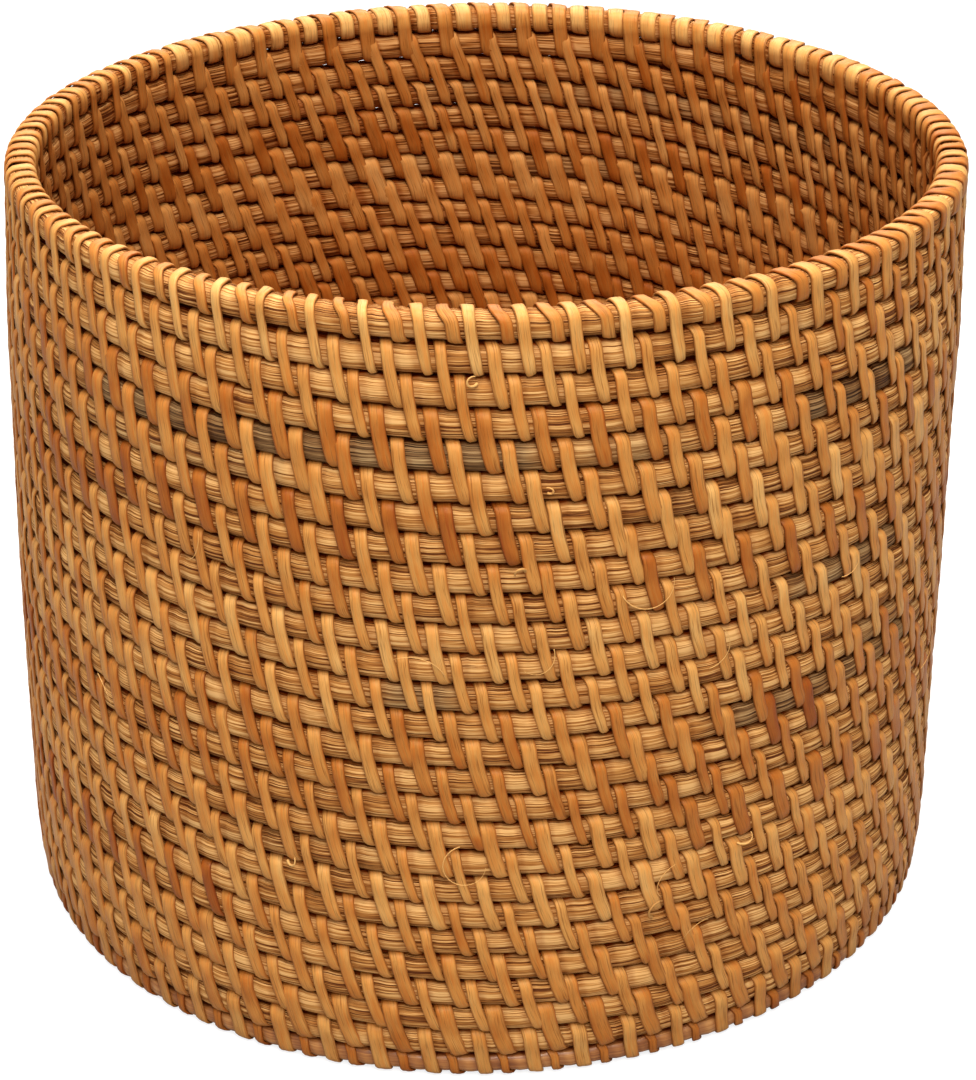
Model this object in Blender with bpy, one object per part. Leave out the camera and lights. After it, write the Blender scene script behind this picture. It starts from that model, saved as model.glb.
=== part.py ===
"""A round wastebasket of coiled rattan.

The wall is a stack of rattan-core hoops between a smooth foot ring and a rim rod. The base is
one core wound as a flat spiral. Each lashing is a flat cane strip that winds round two
neighbouring coils and so ties them together.
Units are metres, +Z is up, and the origin is the middle of the face the basket stands on.

The lashings are drawn with fewer and wider stitches than the real basket has.
"""

import math

import bpy

# Driving dimensions
OUTER_DIAMETER = 0.260
WALL_COILS = 25
COIL_PITCH = 0.0079
RIM_ROD_HEIGHT = 0.0063
FOOT_RING_HEIGHT = 0.0051
BASE_ROD_RADIUS = 0.0029
STRIP_THICKNESS = 0.0009
STRIP_WIDTH = 0.005
BASE_STRIP_WIDTH = 0.004
CLEARANCE = 0.0003
OUTER_SLACK = 0.0002

# How finely the round shapes are cut
RING_SEGMENTS = 24
ROD_SIDES = 6
SHARP_EDGE = math.radians(70)
BASE_STEPS = 18

# A strip goes down outside, in under the coils, up inside and out over the top. Each number is
# how far round the basket one of these takes it, in stitches.
STITCHES = 7
DOWN_OUTSIDE, IN_BELOW, UP_INSIDE, OUT_ABOVE = 0.10, 0.30, 0.30, 0.30
STAGGER = 0.40

# A base stitch takes four steps of the spiral: one in over the turns, one down between them,
# one out below and one up. Four and a half stitches go to a turn, so neighbours alternate.
BASE_STITCH_STEPS = 4
OUTER_GAP, INNER_GAP = 1.5, -0.5

# A rod's section is a hexagon, flat above and below, with a corner to each side
HEIGHT_PER_RADIUS = 2 * math.sin(math.radians(60))
SKIN = STRIP_THICKNESS + CLEARANCE
STRIP_GAP = SKIN + CLEARANCE
COIL_HEIGHT = COIL_PITCH - STRIP_GAP
COIL_RADIUS = COIL_HEIGHT / HEIGHT_PER_RADIUS

# All hoops share one centre circle, and all lashings one outer and one inner radius
HOOP_RADIUS = OUTER_DIAMETER / 2 - SKIN - OUTER_SLACK - COIL_RADIUS
STRIP_OUTER = OUTER_DIAMETER / 2 - STRIP_THICKNESS
STRIP_INNER = (HOOP_RADIUS - COIL_RADIUS) * math.cos(math.pi / RING_SEGMENTS) - CLEARANCE

# Heights, from the floor up
FOOT_RING_BOTTOM = SKIN
FIRST_COIL_BOTTOM = FOOT_RING_BOTTOM + FOOT_RING_HEIGHT + STRIP_GAP
RIM_ROD_BOTTOM = FIRST_COIL_BOTTOM + WALL_COILS * COIL_PITCH
BASE_MIDDLE = FIRST_COIL_BOTTOM + COIL_HEIGHT / 2
BASE_STRIP_LIFT = BASE_ROD_RADIUS + CLEARANCE

# The base spiral opens by one coil pitch a turn. These places on it are in steps from its middle.
BASE_FIRST_STEP = 11
BASE_LAST_STEP = 259
BASE_FIRST_STITCH = 45.5
BASE_LAST_STITCH = 226.5


def clear_scene():
    for obj in list(bpy.data.objects):
        bpy.data.objects.remove(obj)


def new_collection(name):
    collection = bpy.data.collections.new(name)
    bpy.context.scene.collection.children.link(collection)
    return collection


def new_material(name, colour, roughness):
    material = bpy.data.materials.new(name)
    material.use_nodes = True
    shader = material.node_tree.nodes["Principled BSDF"]
    shader.inputs["Base Color"].default_value = (*colour, 1.0)
    shader.inputs["Roughness"].default_value = roughness
    shader.inputs["Metallic"].default_value = 0.0
    return material


def place(obj, name, collection, material):
    """Names an object, gives it its material and leaves it in the basket's collection only."""
    obj.name = name
    obj.data.name = name
    obj.data.materials.append(material)
    for other in list(obj.users_collection):
        other.objects.unlink(obj)
    collection.objects.link(obj)


def polar(radius, angle, z):
    return (radius * math.cos(angle), radius * math.sin(angle), z)


def add_hoop(name, bottom, height, collection, material):
    """A closed hoop of rod, standing on a height."""
    bpy.ops.mesh.primitive_torus_add(
        location=(0, 0, bottom + height / 2),
        major_radius=HOOP_RADIUS,
        minor_radius=height / HEIGHT_PER_RADIUS,
        major_segments=RING_SEGMENTS,
        minor_segments=ROD_SIDES,
    )
    hoop = bpy.context.object
    hoop.data.shade_smooth()
    hoop.data.set_sharp_from_angle(angle=SHARP_EDGE)
    place(hoop, name, collection, material)


def add_strip(name, sections, closed, collection, material):
    """A strip lofted through four-cornered sections, closed on itself or capped at both ends."""
    count = len(sections)
    corners = len(sections[0])
    points = [point for section in sections for point in section]
    faces = []
    for near in range(count if closed else count - 1):
        far = (near + 1) % count
        for corner in range(corners):
            beside = (corner + 1) % corners
            faces.append(
                (
                    near * corners + corner,
                    near * corners + beside,
                    far * corners + beside,
                    far * corners + corner,
                )
            )
    if not closed:
        last = (count - 1) * corners
        faces.append(tuple(reversed(range(corners))))
        faces.append(tuple(range(last, last + corners)))
    mesh = bpy.data.meshes.new(name)
    mesh.from_pydata(points, [], faces)
    strip = bpy.data.objects.new(name, mesh)
    collection.objects.link(strip)
    place(strip, name, collection, material)


def wall_section(angle, radius, z, outward, upward):
    """A strip's section at a fold: its face on the rods, and its far face one thickness away."""
    half = STRIP_WIDTH / 2 / radius
    far_radius = radius + outward * STRIP_THICKNESS
    far_z = z + upward * STRIP_THICKNESS
    return (
        polar(radius, angle - half, z),
        polar(radius, angle + half, z),
        polar(far_radius, angle + half, far_z),
        polar(far_radius, angle - half, far_z),
    )


def add_wall_lashing(name, course, bottom, top, collection, material):
    """One closed strip round the two rods that lie between a bottom and a top height."""
    low = bottom - CLEARANCE
    high = top + CLEARANCE
    stitch = math.tau / STITCHES
    sections = []
    for number in range(STITCHES):
        turned = number - course * STAGGER
        for radius, z, outward, upward, lead in (
            (STRIP_OUTER, high, 1, 1, DOWN_OUTSIDE),
            (STRIP_OUTER, low, 1, -1, IN_BELOW),
            (STRIP_INNER, low, -1, -1, UP_INSIDE),
            (STRIP_INNER, high, -1, 1, OUT_ABOVE),
        ):
            sections.append(wall_section(turned * stitch, radius, z, outward, upward))
            turned += lead
    add_strip(name, sections, True, collection, material)


def spiral_point(step, turns_out):
    """A point of the faceted base spiral, moved outwards by a number of turns."""
    before = math.floor(step)
    ends = []
    for corner in (before, before + 1):
        turn = corner / BASE_STEPS
        ends.append(polar(COIL_PITCH * (turn + turns_out), math.tau * turn, 0))
    share = step - before
    return [near + (far - near) * share for near, far in zip(*ends)]


def base_section(step, turns_out, level):
    """A base strip's section in the gap beside a turn, at level 1 (top), 0 or -1 (bottom)."""
    middle_x, middle_y, _ = spiral_point(step, turns_out)
    back_x, back_y, _ = spiral_point(step - 0.5, turns_out)
    ahead_x, ahead_y, _ = spiral_point(step + 0.5, turns_out)
    length = math.hypot(ahead_x - back_x, ahead_y - back_y)
    along_x = (ahead_x - back_x) / length
    along_y = (ahead_y - back_y) / length

    def corner(forward, across, z):
        return (
            middle_x + forward * along_x + across * along_y,
            middle_y + forward * along_y - across * along_x,
            BASE_MIDDLE + z,
        )

    half_width = BASE_STRIP_WIDTH / 2
    half_thickness = math.copysign(STRIP_THICKNESS / 2, turns_out)
    near_z = level * BASE_STRIP_LIFT
    far_z = level * (BASE_STRIP_LIFT + STRIP_THICKNESS)
    return (
        corner(half_width, -half_thickness, near_z),
        corner(-half_width, -half_thickness, near_z),
        corner(-half_width, half_thickness, far_z),
        corner(half_width, half_thickness, far_z),
    )


def add_base_lashing(collection, material):
    """One strip that winds round the base spiral, two turns at a time, from the middle out."""
    sections = []
    start = BASE_FIRST_STITCH
    while start < BASE_LAST_STITCH:
        for steps, gap, level in (
            (0.0, OUTER_GAP, 1),
            (1.0, INNER_GAP, 1),
            (1.5, INNER_GAP, 0),
            (2.0, INNER_GAP, -1),
            (3.0, OUTER_GAP, -1),
            (3.5, OUTER_GAP, 0),
        ):
            sections.append(base_section(start + steps, gap, level))
        start += BASE_STITCH_STEPS
    add_strip("base_lashing", sections, False, collection, material)


def add_base_coil(collection, material):
    curve = bpy.data.curves.new("base_coil", "CURVE")
    curve.dimensions = "3D"
    curve.twist_mode = "Z_UP"
    curve.bevel_depth = BASE_ROD_RADIUS
    curve.bevel_resolution = 1
    curve.use_fill_caps = True
    points = [spiral_point(step, 0) for step in range(BASE_FIRST_STEP, BASE_LAST_STEP + 1)]
    spline = curve.splines.new("POLY")
    spline.points.add(len(points) - 1)
    for spline_point, point in zip(spline.points, points):
        spline_point.co = (*point, 1)
    coil = bpy.data.objects.new("base_coil", curve)
    coil.location.z = BASE_MIDDLE
    place(coil, "base_coil", collection, material)


def build():
    clear_scene()
    basket = new_collection("wastebasket")
    core = new_material("rattan_core", (0.50, 0.25, 0.085), 0.75)
    cane = new_material("cane_strip", (0.56, 0.24, 0.06), 0.45)
    smooth = new_material("smooth_cane", (0.42, 0.15, 0.05), 0.40)

    coil_bottoms = [FIRST_COIL_BOTTOM + course * COIL_PITCH for course in range(WALL_COILS)]
    foot_top = FOOT_RING_BOTTOM + FOOT_RING_HEIGHT
    rim_top = RIM_ROD_BOTTOM + RIM_ROD_HEIGHT

    add_hoop("foot_ring", FOOT_RING_BOTTOM, FOOT_RING_HEIGHT, basket, smooth)
    for number, bottom in enumerate(coil_bottoms, start=1):
        add_hoop(f"wall_coil_{number:02d}", bottom, COIL_HEIGHT, basket, core)
    add_hoop("rim_rod", RIM_ROD_BOTTOM, RIM_ROD_HEIGHT, basket, core)
    add_base_coil(basket, core)

    first_top = coil_bottoms[0] + COIL_HEIGHT
    add_wall_lashing("foot_lashing", 0, FOOT_RING_BOTTOM, first_top, basket, cane)
    for number in range(1, WALL_COILS):
        name = f"wall_lashing_{number:02d}"
        top = coil_bottoms[number] + COIL_HEIGHT
        add_wall_lashing(name, number, coil_bottoms[number - 1], top, basket, cane)
    add_wall_lashing("rim_lashing", WALL_COILS, coil_bottoms[-1], rim_top, basket, cane)
    add_base_lashing(basket, cane)


build()
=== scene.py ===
"""Looks of the coiled rattan wastebasket: every rod, every cane strip and their materials.

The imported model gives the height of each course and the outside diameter. Around that, this
script builds each coil as a pressed, pillowed rod and each lashing as one continuous flat cane
strip with its real number of stitches. Units are metres, and angles run anticlockwise seen
from above. "Out" is the distance from a coil's centre circle, away from the basket's axis.
"""

import math

import bpy
import numpy as np
from mathutils import Euler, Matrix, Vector


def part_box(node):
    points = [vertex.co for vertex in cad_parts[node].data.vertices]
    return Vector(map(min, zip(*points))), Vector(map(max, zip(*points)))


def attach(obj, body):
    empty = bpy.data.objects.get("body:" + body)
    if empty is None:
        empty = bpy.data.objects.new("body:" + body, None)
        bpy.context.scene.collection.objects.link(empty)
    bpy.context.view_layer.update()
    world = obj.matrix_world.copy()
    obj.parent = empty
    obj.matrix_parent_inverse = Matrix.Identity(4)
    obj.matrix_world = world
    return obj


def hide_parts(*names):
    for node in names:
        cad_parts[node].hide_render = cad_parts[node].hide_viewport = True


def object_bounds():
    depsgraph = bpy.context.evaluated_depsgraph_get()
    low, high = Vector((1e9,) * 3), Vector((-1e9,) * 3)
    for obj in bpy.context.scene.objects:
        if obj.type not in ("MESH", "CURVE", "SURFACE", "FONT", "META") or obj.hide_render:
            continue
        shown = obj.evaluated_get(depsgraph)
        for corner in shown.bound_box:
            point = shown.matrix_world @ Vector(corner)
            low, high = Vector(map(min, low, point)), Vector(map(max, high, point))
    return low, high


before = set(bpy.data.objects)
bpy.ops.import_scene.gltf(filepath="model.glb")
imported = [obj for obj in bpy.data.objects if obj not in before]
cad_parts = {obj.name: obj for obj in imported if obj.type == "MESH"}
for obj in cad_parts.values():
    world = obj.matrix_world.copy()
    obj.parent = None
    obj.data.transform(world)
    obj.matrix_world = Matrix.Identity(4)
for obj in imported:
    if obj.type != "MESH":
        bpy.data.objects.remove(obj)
cad_low, cad_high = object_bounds()

# The weave: a stitch is an angle, and each course starts its stitches STAGGER of one further back
WALL_COILS = 25
STITCHES = 66
STITCH = math.tau / STITCHES
STAGGER = 0.44
STRIP_WIDTH = 0.00316
STRIP_THICKNESS = 0.00074

# Half the width (OUT) and half the height (UP) of each kind of rod
ROD_OUT = 0.00352
ROD_UP = 0.00388
RIM_ROD_UP = 0.00347
FOOT_RING_OUT = 0.00300
FOOT_RING_UP = 0.00287

# SQUARENESS makes a rod's section an ellipse at 1 and a rectangle at 0. The rod swells by PILLOW
# between strips, is pressed in by CROSSING_DENT where they pass, and is rough by ROD_ROUGHNESS.
SQUARENESS = 0.66
PILLOW = 0.00030
CROSSING_DENT = 0.00034
ROD_ROUGHNESS = 0.00010

# How far a strip sags between two rods, and how far it strays up or down at random
LEG_SAG = 0.00012
STRIP_LIFT = 0.00008

# The hand-made wall: its radius at shares of its height, how oval the rim and the foot are along
# and across the diagonal, as shares of the radius, and how far the rim leans towards +X and +Y
PROFILE_SHARES = [0.0, 0.11, 0.42, 0.75, 1.0]
PROFILE = [1.012, 1.018, 1.018, 1.013, 1.0]
RIM_OVAL = (-0.0152, -0.0166)
FOOT_OVAL = (-0.0016, -0.0029)
RIM_LEAN = (0.0040, 0.0023)

# How dark the painted shadow beside a strip and the painted shade on the inside are, as a share of the
# painted shade in a groove
EDGE_SHADE = 0.35
INSIDE_SHADE = 0.42

# Mesh resolution
ROD_STEPS_PER_STITCH = 12
ROD_SECTION_POINTS = 18
ARC_STEPS = 5
LEG_STEPS = 4

# Each rod's or run's grain is read this far from the last one's, so that no two look alike
GRAIN_STEP = 0.05

# Seeds of the random draws. Where a course has its own draw, its number is added.
DRIFT_SEED = 11
WAVE_SEED = 21
ROUGHNESS_SEED = 300
WEATHER_SEED = 500
LASHING_SEED = 1000
BASE_SEED = 77
FIBRE_SEED = 5

OUTER_RADIUS = (cad_high.x - cad_low.x) / 2
HEIGHT = cad_high.z - cad_low.z
CENTRE_RADIUS = OUTER_RADIUS - STRIP_THICKNESS - ROD_OUT


def node_middle(node):
    low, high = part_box(node)
    return (low.z + high.z) / 2


WALL_NODES = [f"wall_coil_{number:02d}" for number in range(1, WALL_COILS + 1)]
ROD_NODES = ["foot_ring"] + WALL_NODES + ["rim_rod"]
ROD_HEIGHTS = [node_middle(node) for node in ROD_NODES]
FOOT = 0
RIM = len(ROD_NODES) - 1
PITCH = ROD_HEIGHTS[2] - ROD_HEIGHTS[1]


# ---------------------------------------------------------------- small shape helpers

def ease(share):
    """A share that starts and ends slowly: 0 at 0 and 1 at 1."""
    return share * share * (3 - 2 * share)


def smooth_steps(x, knots, values):
    """Joins values at knots with smooth steps."""
    knots = np.asarray(knots, float)
    values = np.asarray(values, float)
    x = np.clip(x, knots[0], knots[-1])
    index = np.clip(np.searchsorted(knots, x, side="right") - 1, 0, len(knots) - 2)
    share = ease((x - knots[index]) / (knots[index + 1] - knots[index]))
    return values[index] + (values[index + 1] - values[index]) * share


def smooth_curve(x, knots, values):
    """Joins values at knots with a curve that keeps its slope across them."""
    knots = np.asarray(knots, float)
    values = np.asarray(values, float)
    slopes = np.gradient(values, knots)
    slopes[0] = slopes[-1] = (slopes[0] + slopes[-1]) / 2
    index = np.clip(np.searchsorted(knots, x, side="right") - 1, 0, len(knots) - 2)
    width = knots[index + 1] - knots[index]
    t = (x - knots[index]) / width
    return (
        values[index] * (2 * t**3 - 3 * t**2 + 1)
        + slopes[index] * width * (t**3 - 2 * t**2 + t)
        + values[index + 1] * (3 * t**2 - 2 * t**3)
        + slopes[index + 1] * width * (t**3 - t**2)
    )


def ring_noise(angle, seed, waves, size):
    """Smooth noise round the basket that meets itself after a full turn."""
    random = np.random.default_rng(seed)
    total = np.zeros_like(np.asarray(angle, float))
    for wave in waves:
        amount = random.normal() / math.sqrt(len(waves))
        total = total + amount * np.sin(wave * angle + random.uniform(0, math.tau))
    return size * total


def window(angle, middle_degrees, half_degrees, edge_degrees=5.0):
    """1 near an angle round the basket and 0 away from it, with soft ends."""
    away = np.abs((angle - math.radians(middle_degrees) + math.pi) % math.tau - math.pi)
    return np.clip((half_degrees - np.degrees(away)) / edge_degrees, 0, 1)


def superellipse(turn):
    """A point of the squarish unit section, from an angle."""
    cosine, sine = np.cos(turn), np.sin(turn)
    across = np.sign(cosine) * np.abs(cosine) ** SQUARENESS
    upward = np.sign(sine) * np.abs(sine) ** SQUARENESS
    return across, upward


def wall_radius(angle, z):
    """Radius of the coil centres: the hand-made wall bulges a little and isn't quite round."""
    share = z / HEIGHT
    shape = smooth_steps(share, PROFILE_SHARES, PROFILE)
    rim_oval = RIM_OVAL[0] * np.cos(2 * angle) + RIM_OVAL[1] * np.sin(2 * angle)
    foot_oval = FOOT_OVAL[0] * np.cos(2 * angle) + FOOT_OVAL[1] * np.sin(2 * angle)
    oval = 1 + rim_oval * share + foot_oval * (1 - share)
    return CENTRE_RADIUS * shape * oval


def wall_lean(z):
    """How far the hand-made wall leans towards +X and +Y."""
    share = np.clip(z / HEIGHT, 0, 1) ** 1.5
    return RIM_LEAN[0] * share, RIM_LEAN[1] * share


def course_drift(angle, course):
    """How far stitches wander round the basket near a course, in stitches.

    They spread from the front near the foot. Two more patterns come and go with height.
    """
    from_front = angle + math.pi / 2
    spread = np.interp(course, [FOOT, RIM - 1], [1.25, -0.1])
    wide = spread * (0.22 * np.sin(from_front) + 0.24 * np.sin(2 * from_front))
    slow = ring_noise(angle, DRIFT_SEED, [2, 3, 5], 0.07)
    mixed = ring_noise(angle, DRIFT_SEED + 1, [2, 4, 7], 0.05) * np.sin(course * 0.55 + 0.4)
    other = ring_noise(angle, DRIFT_SEED + 2, [3, 5, 9], 0.05) * np.cos(course * 0.83 + 1.9)
    return wide + slow + mixed + other


def course_wave(angle, course):
    """How far a course rises and falls on its way round. The foot stays flat."""
    free = min(course / 4, 1.0)
    slow = ring_noise(angle, WAVE_SEED, [2, 3, 4], 0.00030)
    own = ring_noise(angle, WAVE_SEED + 1 + course, [5, 9, 14], 0.00012)
    return free * (slow + own)


def wall_points(angle, out, z):
    """World points from an angle, a distance out from the coil centres and a height."""
    radius = wall_radius(angle, z) + out
    lean_x, lean_y = wall_lean(z)
    x = radius * np.cos(angle) + lean_x
    y = radius * np.sin(angle) + lean_y
    return np.stack([x, y, z + 0 * radius], axis=-1)


# ---------------------------------------------------------------- meshes

def make_mesh(name, points, faces, attributes, material):
    """A smooth mesh object. Faces is a list of index arrays, one for each number of corners."""
    mesh = bpy.data.meshes.new(name)
    mesh.vertices.add(len(points))
    mesh.vertices.foreach_set("co", points.astype(np.float32).ravel())
    corners = np.concatenate([group.ravel() for group in faces]).astype(np.int32)
    sizes = np.concatenate([np.full(len(group), group.shape[1]) for group in faces])
    starts = np.concatenate([[0], np.cumsum(sizes)[:-1]]).astype(np.int32)
    mesh.loops.add(len(corners))
    mesh.loops.foreach_set("vertex_index", corners)
    mesh.polygons.add(len(sizes))
    mesh.polygons.foreach_set("loop_start", starts)
    for attribute, values in attributes.items():
        kind = "FLOAT_VECTOR" if values.ndim == 2 else "FLOAT"
        field = "vector" if values.ndim == 2 else "value"
        layer = mesh.attributes.new(attribute, kind, "POINT")
        layer.data.foreach_set(field, values.astype(np.float32).ravel())
    mesh.update(calc_edges=True)
    mesh.validate()
    mesh.shade_smooth()
    mesh.materials.append(material)
    obj = bpy.data.objects.new(name, mesh)
    bpy.context.scene.collection.objects.link(obj)
    return obj


def tube_faces(rows, columns, closed):
    """Faces of a tube of rows of points: closed on itself, or capped at both ends."""
    row = np.arange(rows if closed else rows - 1)[:, None]
    column = np.arange(columns)[None, :]
    next_row = (row + 1) % rows
    next_column = (column + 1) % columns
    quads = np.stack(
        [
            row * columns + column,
            row * columns + next_column,
            next_row * columns + next_column,
            next_row * columns + column,
        ],
        axis=-1,
    ).reshape(-1, 4)
    if closed:
        return [quads]
    first = np.arange(columns)[None, ::-1]
    last = (rows - 1) * columns + np.arange(columns)[None, :]
    return [quads, np.concatenate([first, last])]


def finish_piece(obj, slot, *nodes):
    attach(obj, "root")
    if nodes:
        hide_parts(*nodes)


# ---------------------------------------------------------------- where stitches are

# A strip's way round its rods, as a share of one loop: from the top of the upper rod past the
# upper and the lower rod's outsides, under the lower rod, and back up past their insides
UPPER_OUTSIDE, LOWER_OUTSIDE = 0.153, 0.347
UNDERSIDE = 0.5
LOWER_INSIDE, UPPER_INSIDE = 0.653, 0.847
LEG_SHARE = LOWER_OUTSIDE - UPPER_OUTSIDE
LOOP_SHARE = [
    0.0,
    0.09,
    UPPER_OUTSIDE,
    LOWER_OUTSIDE,
    0.41,
    UNDERSIDE,
    0.59,
    LOWER_INSIDE,
    UPPER_INSIDE,
    0.91,
    1.0,
]

# How far round the basket a strip has gone at each of those shares, in stitches, and how far it
# has gone where it passes under its lower rod and over its upper one
LOOP_LEAD = [0.0, 0.06, 0.09, 0.22, 0.29, 0.385, 0.48, 0.54, 0.77, 0.84, 1.0]
BELOW, ABOVE = 0.385, 0.96

# The rim and the foot are wrapped twice a stitch: once with their neighbour, once alone. Their
# long wraps are the first half of a stitch, and their short wraps the second.
RIM_LONG_LEAD = [0.0, 0.04, 0.07, 0.18, 0.23, 0.27, 0.31, 0.34, 0.42, 0.45, 0.5]
RIM_SHORT_LEAD = [0.5, 0.60, 0.67, 0.77, 0.80, 0.84, 0.87, 0.89, 0.94, 0.96, 1.0]
FOOT_LONG_LEAD = [0.0, 0.03, 0.07, 0.17, 0.22, 0.27, 0.31, 0.34, 0.42, 0.46, 0.5]
FOOT_SHORT_LEAD = [0.5, 0.56, 0.60, 0.66, 0.70, 0.75, 0.80, 0.84, 0.90, 0.94, 1.0]

# Strips press on rods within the first distance of their middle and no longer at the second, and shadow
# is painted on the rod beside them likewise, all in stitches
PRESS = (0.12, 0.30)
STRIP_SHADOW_SPAN = (0.16, 0.24)


def strip_lean(course, angle):
    """How much the outer legs lean: more in the lower courses and at the sides."""
    to_right, to_left = window(angle, -35, 60, 55), window(angle, -150, 40, 40)
    by_height = np.interp(course, [FOOT, 8, RIM - 1], [1.32, 1.12, 0.94])
    return by_height * (1 + 0.30 * to_right + 0.14 * to_left)


def leaning_lead(lean, lead):
    """The lead of a strip whose outer leg leans more or less than usual."""
    lead = np.asarray(lead)
    under = BELOW * lean
    inner = 1 - (1 - lead) * (1 - under) / (1 - BELOW)
    return np.where(lead <= BELOW, lead * lean, inner)


def stitch_start(course):
    """Where the stitches of a lashing start, in stitches. Each lashing binds rods n and n + 1."""
    return -course * STAGGER


def near_whole(distance, flat, half_width):
    """1 where a distance in stitches is near a whole number, falling to 0 at half a width."""
    away = np.abs(distance - np.round(distance))
    return ease(np.clip((half_width - away) / (half_width - flat), 0, 1))


def stitch_wraps(lashing):
    """The wraps that make one stitch of a lashing: low rod, high rod and lead along the loop."""
    if lashing == FOOT:
        return [(FOOT, FOOT + 1, FOOT_LONG_LEAD), (FOOT, FOOT, FOOT_SHORT_LEAD)]
    if lashing == RIM - 1:
        return [(RIM - 1, RIM, RIM_LONG_LEAD), (RIM, RIM, RIM_SHORT_LEAD)]
    return [(lashing, lashing + 1, LOOP_LEAD)]


def crossings(angle, rod, side):
    """Strips across one side of a rod: each one's start and its lead at bottom, middle and top."""
    found = []
    for lashing in (rod - 1, rod):
        if not FOOT <= lashing < RIM:
            continue
        for low, high, lead in stitch_wraps(lashing):
            if low == high == rod:
                share = np.array([0.42, 0.25, 0.08])
            elif rod == low:
                share = np.array([0.42, LOWER_OUTSIDE, 0.25])
            elif rod == high:
                share = np.array([0.25, UPPER_OUTSIDE, 0.07])
            else:
                continue
            if side < 0:
                share = 1 - share
            if lashing == FOOT:
                share = (share + UNDERSIDE) % 1
            leads = smooth_curve(share, LOOP_SHARE, lead)
            if lead is LOOP_LEAD:
                lean = strip_lean(lashing, angle)
                leads = [leaning_lead(lean, one) for one in leads]
            found.append((stitch_start(lashing), leads))
    return found


def side_pressure(place, crossed):
    """Where strips press on one side of a rod, 0 to 1."""
    marks = [near_whole(place - start - leads[1], *PRESS) for start, leads in crossed]
    return np.max(marks, axis=0)


def gap_pressure(angle, place, rod, above):
    """Where strips pass between a rod and the next one above or below it, 0 to 1."""
    over, under = (rod - 1, rod + 1) if above else (rod - 2, rod)
    marks = []
    for lashing, lead in ((over, ABOVE), (under, BELOW)):
        lead = leaning_lead(strip_lean(lashing, angle), lead)
        marks.append(near_whole(place - stitch_start(lashing) - lead, *PRESS))
    return np.max(marks, axis=0)


def strip_shadow_mask(place, crossed, upward):
    """Painted shadow on a rod beside its strips: 1 where the rod lies under a strip, falling to 0 just
    beside it.
    """
    marks = []
    for start, (low, middle, high) in crossed:
        lead = middle + np.where(upward > 0, (high - middle) * upward, (middle - low) * upward)
        marks.append(near_whole(place - start - lead, *STRIP_SHADOW_SPAN))
    return np.max(marks, axis=0)


# ---------------------------------------------------------------- the coils

# Lengths of rod that have weathered grey: course, middle and half length in degrees, strength
GREY_LENGTHS = [
    (22, -112, 30, 1.0),
    (22, -76, 8, 0.5),
    (22, -46, 13, 0.9),
    (21, -126, 16, 0.40),
    (20, -70, 6, 0.40),
    (14, -97, 7, 0.80),
    (16, -46, 14, 0.70),
    (13, -40, 8, 0.60),
    (12, -47, 20, 0.75),
    (8, -110, 12, 0.30),
    (23, 60, 40, 0.50),
    (20, 88, 26, 0.50),
    (9, 140, 30, 0.45),
    (15, 20, 18, 0.60),
]


def weathering(angle, course):
    """How grey a rod is round the basket, 0 to 1."""
    total = 0.10 * np.clip(ring_noise(angle, WEATHER_SEED + course, [2, 3, 5, 8], 1.0), 0, 1)
    for grey_course, middle, half, strength in GREY_LENGTHS:
        if grey_course == course:
            total = total + strength * window(angle, middle, half)
    return np.clip(total, 0, 1)


# Where the painted shade in the groove beside a rod starts, in half widths of the rod, on the rod itself
# and on the strips and the base rod, and how much further in it is at its darkest
ROD_GROOVE = 0.80
STRIP_GROOVE = 0.66
GROOVE_SLOPE = 0.5


def rod_size(course):
    """Half the width and half the height of a rod."""
    if course == FOOT:
        return FOOT_RING_OUT, FOOT_RING_UP
    if course == RIM:
        return ROD_OUT, RIM_ROD_UP
    return ROD_OUT, ROD_UP


def painted_groove_shade(across, edge):
    """How dark the painted shade is at a place in the groove between two rods, 0 to 1: deeper places are
    darker.

    Across is its place in the rod's width, from -1 to 1, and the groove starts at edge.
    """
    return ease(np.clip((edge - np.abs(across)) / GROOVE_SLOPE, 0, 1))


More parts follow.
